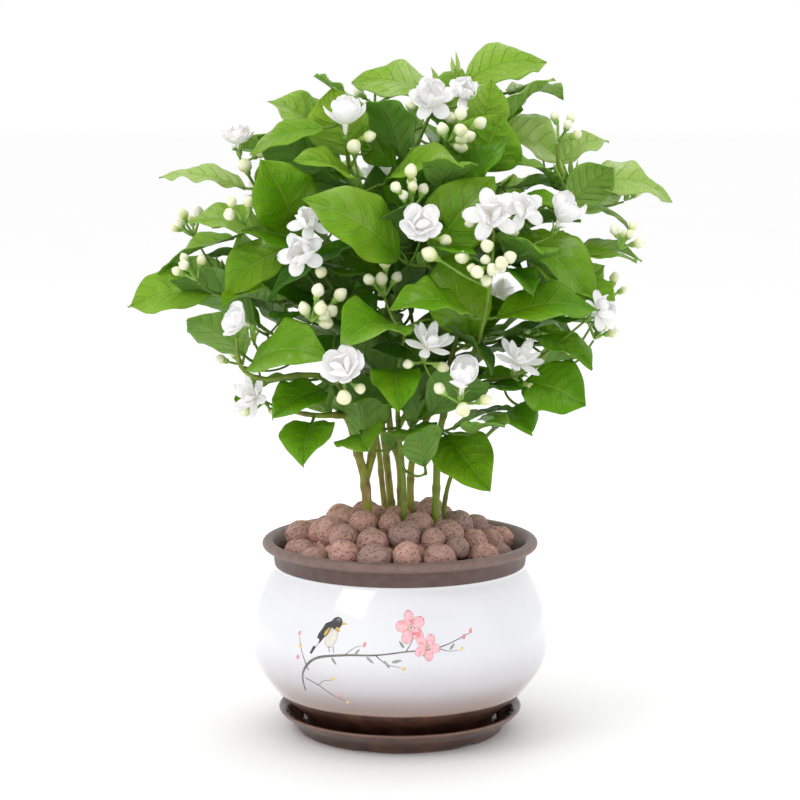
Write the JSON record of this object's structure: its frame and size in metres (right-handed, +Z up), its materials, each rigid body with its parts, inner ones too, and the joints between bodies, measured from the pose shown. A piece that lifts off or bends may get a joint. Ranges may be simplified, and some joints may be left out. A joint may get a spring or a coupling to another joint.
{
  "type": "potted jasmine",
  "caption": "Bushy flowering jasmine with glossy leaves, white double blooms and buds, in a squat bellied glazed pot on a footed saucer, top dressed with clay balls.",
  "frame": {"origin": "on the surface the saucer stands on, under the middle of the saucer, on the pot's axis", "axes": "+Z up along the pot's axis, +X to the plant's right seen from its front, +Y from the front to the rear"},
  "size_m": [0.3033, 0.2174, 0.3788],
  "materials": {
    "brown_glaze": "satin",
    "white_glaze": "gloss",
    "soil": "matte",
    "fired_clay": "matte",
    "bark": "matte",
    "leaf": "satin",
    "petal": "matte",
    "bud": "matte"
  },
  "bodies": {
    "root": {"saucer": "brown_glaze", "pot": "white_glaze", "soil": "soil", "clay_balls": "fired_clay", "stem_left": "bark", "stem_thin_left": "bark", "stem_centre": "bark", "stem_twin": "bark", "stem_right": "bark", "stem_front": "bark", "stem_rear": "bark", "stem_young_right": "bark", "leaf_crown_right": "leaf", "leaf_crown_left": "leaf", "leaf_tall_left": "leaf", "leaf_shoulder_left": "leaf", "leaf_broad_left": "leaf", "leaf_shoulder_right": "leaf", "leaf_broad_right": "leaf", "leaf_upper_right": "leaf", "leaf_arched_right": "leaf", "leaf_small_right": "leaf", "leaf_far_right": "leaf", "leaf_mid_right": "leaf", "leaf_far_left": "leaf", "leaf_bright_left": "leaf", "leaf_side_left": "leaf", "leaf_lowest_tip_left": "leaf", "leaf_front_left": "leaf", "leaf_front_centre": "leaf", "leaf_arched_front": "leaf", "leaf_long_right": "leaf", "leaf_upright_right": "leaf", "leaf_hanging_right": "leaf", "leaf_under_left": "leaf", "leaf_glossy_front": "leaf", "leaf_low_right": "leaf", "leaf_lowest_right": "leaf", "leaf_lowest_left": "leaf", "leaf_rear_low": "leaf", "leaf_rear_mid": "leaf", "leaf_rear_high": "leaf", "leaf_rear_top": "leaf", "leaf_rear_right": "leaf", "flower_crown": "petal", "flower_upper_left": "petal", "flower_far_left": "petal", "flower_left": "petal", "flower_centre": "petal", "flower_right": "petal", "flower_front_left": "petal", "flower_front_centre": "petal", "flower_front_right": "petal", "flower_low_right": "petal", "flower_low_left": "petal", "buds_crown": "bud", "buds_centre": "bud", "buds_front_right": "bud", "buds_inner": "bud", "buds_front_left": "bud"}
  },
  "joints": []
}
